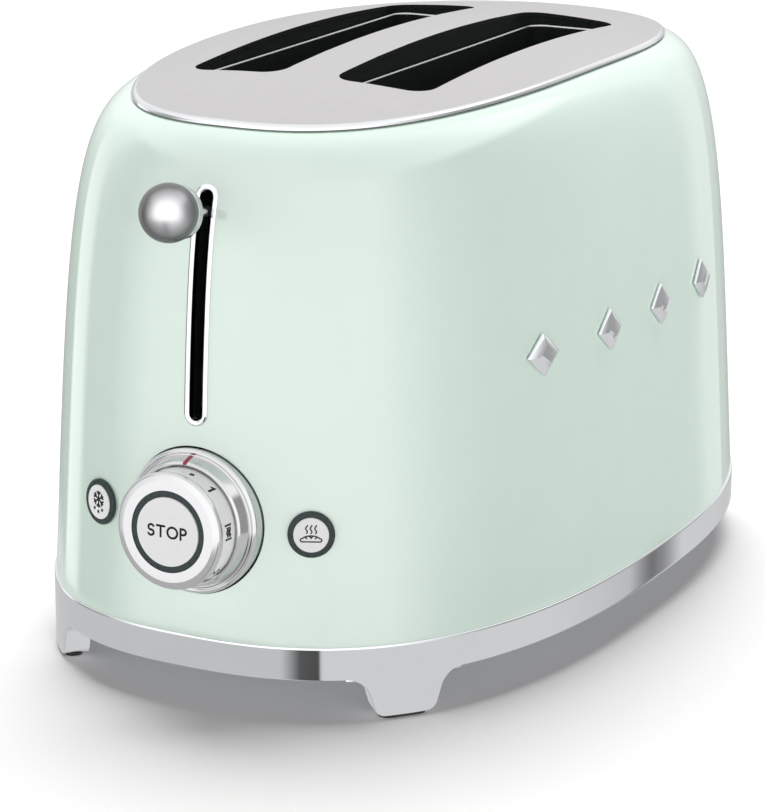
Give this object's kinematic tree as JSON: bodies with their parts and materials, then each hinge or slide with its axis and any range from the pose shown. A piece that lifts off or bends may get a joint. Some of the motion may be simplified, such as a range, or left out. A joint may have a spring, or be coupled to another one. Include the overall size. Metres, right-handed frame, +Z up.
{
  "type": "two-slot pop-up toaster",
  "caption": "Pop-up toaster with a rounded painted steel shell, domed satin top panel with bread slots, chrome footed base ring, ball lever, browning dial and push buttons.",
  "frame": {"origin": "bottom centre of the whole toaster's box, at floor level under the foot pads", "axes": "+Z up, +Y from the lever and dial at the front towards the cord entry at the rear, +X to the right as seen from the front"},
  "size_m": [0.1972, 0.3312, 0.198],
  "materials": {
    "painted_shell": "gloss",
    "satin_steel": "satin",
    "polished_chrome": "polished",
    "zinc_sheet": "satin",
    "bare_steel": "satin",
    "black_steel": "satin",
    "rubber": "matte",
    "black_plastic": "matte",
    "dark_plastic": "gloss",
    "light_plastic": "satin",
    "crimson_mark": "gloss",
    "mica": "matte",
    "resistance_wire": "satin",
    "spring_steel": "satin",
    "circuit_board": "satin",
    "copper_winding": "satin"
  },
  "bodies": {
    "housing": {"body_shell": "painted_shell", "top_panel": "satin_steel", "base_ring": "polished_chrome", "base_plate": "zinc_sheet", "foot_pad_front_left": "rubber", "foot_pad_front_right": "rubber", "foot_pad_rear_left": "rubber", "foot_pad_rear_right": "rubber", "base_screws": "bare_steel", "cord_gland": "black_plastic", "cord_wrap_hooks": "black_plastic", "lever_slot_bezel": "polished_chrome", "lever_slot_channel": "black_plastic", "dial_bezel": "polished_chrome", "index_mark": "crimson_mark", "defrost_ring": "dark_plastic", "reheat_ring": "dark_plastic", "trim_studs": "polished_chrome", "slot_liner_left": "black_steel", "slot_liner_right": "black_steel", "front_chassis_plate": "zinc_sheet", "rear_chassis_plate": "zinc_sheet", "heat_shield_left": "bare_steel", "heat_shield_right": "bare_steel", "mica_board_left_outer": "mica", "mica_board_left_inner": "mica", "mica_board_right_inner": "mica", "mica_board_right_outer": "mica", "heating_ribbons": "resistance_wire", "guide_rod": "bare_steel", "lift_spring": "spring_steel", "magnet_core": "zinc_sheet", "magnet_coil": "copper_winding", "control_board": "circuit_board", "carriage_switches": "black_plastic", "button_switches": "black_plastic", "dial_encoder": "zinc_sheet", "board_standoffs": "light_plastic", "terminal_block": "light_plastic", "chassis_screws": "bare_steel"},
    "carriage": {"carriage_bracket": "zinc_sheet", "lever_stem": "bare_steel", "lever_neck": "polished_chrome", "lever_ball": "polished_chrome", "keeper_plate": "bare_steel", "bread_rack_left": "bare_steel", "bread_rack_right": "bare_steel"},
    "guide_left_outer": {"bread_guide_left_outer": "bare_steel"},
    "guide_left_inner": {"bread_guide_left_inner": "bare_steel"},
    "guide_right_inner": {"bread_guide_right_inner": "bare_steel"},
    "guide_right_outer": {"bread_guide_right_outer": "bare_steel"},
    "dial": {"dial_knob": "polished_chrome", "dial_skirt": "light_plastic", "dial_face_ring": "dark_plastic", "dial_shaft": "black_plastic"},
    "stop_button": {"stop_button": "light_plastic"},
    "defrost_button": {"defrost_button": "light_plastic"},
    "reheat_button": {"reheat_button": "light_plastic"},
    "crumb_tray": {"crumb_tray": "bare_steel", "crumb_tray_handle": "polished_chrome"}
  },
  "joints": [
    {"name": "lever_slide", "type": "slide", "parent": "housing", "child": "carriage", "axis": [0, 0, 1], "range_m": [-0.065, 0], "stiffness_N_per_m": 100, "springref_m": 0.05, "deforming": ["lift_spring"]},
    {"name": "guide_left_outer_slide", "type": "slide", "parent": "housing", "child": "guide_left_outer", "axis": [1, 0, 0], "range_m": [0, 0.005]},
    {"name": "guide_left_inner_slide", "type": "slide", "parent": "housing", "child": "guide_left_inner", "axis": [-1, 0, 0], "range_m": [0, 0.005]},
    {"name": "guide_right_inner_slide", "type": "slide", "parent": "housing", "child": "guide_right_inner", "axis": [1, 0, 0], "range_m": [0, 0.005]},
    {"name": "guide_right_outer_slide", "type": "slide", "parent": "housing", "child": "guide_right_outer", "axis": [-1, 0, 0], "range_m": [0, 0.005]},
    {"name": "dial_turn", "type": "hinge", "parent": "housing", "child": "dial", "pos_m": [0.003, -0.14392, 0.064], "axis": [0, -0.9989, 0.0474], "range_deg": [0, 290]},
    {"name": "stop_press", "type": "slide", "parent": "housing", "child": "stop_button", "axis": [0, 0.9989, -0.0474], "range_m": [0, 0.002], "stiffness_N_per_m": 400, "springref_m": -0.002},
    {"name": "defrost_press", "type": "slide", "parent": "housing", "child": "defrost_button", "axis": [0.3513, 0.9351, -0.0474], "range_m": [0, 0.002], "stiffness_N_per_m": 300, "springref_m": -0.002},
    {"name": "reheat_press", "type": "slide", "parent": "housing", "child": "reheat_button", "axis": [-0.4378, 0.8978, -0.0474], "range_m": [0, 0.002], "stiffness_N_per_m": 300, "springref_m": -0.002},
    {"name": "tray_slide", "type": "slide", "parent": "housing", "child": "crumb_tray", "axis": [0, 1, 0], "range_m": [0, 0.2]}
  ],
  "couplings": [
    {"joint": "guide_left_outer_slide", "follows": "lever_slide", "ratio": -0.076923},
    {"joint": "guide_left_inner_slide", "follows": "lever_slide", "ratio": -0.076923},
    {"joint": "guide_right_inner_slide", "follows": "lever_slide", "ratio": -0.076923},
    {"joint": "guide_right_outer_slide", "follows": "lever_slide", "ratio": -0.076923}
  ]
}
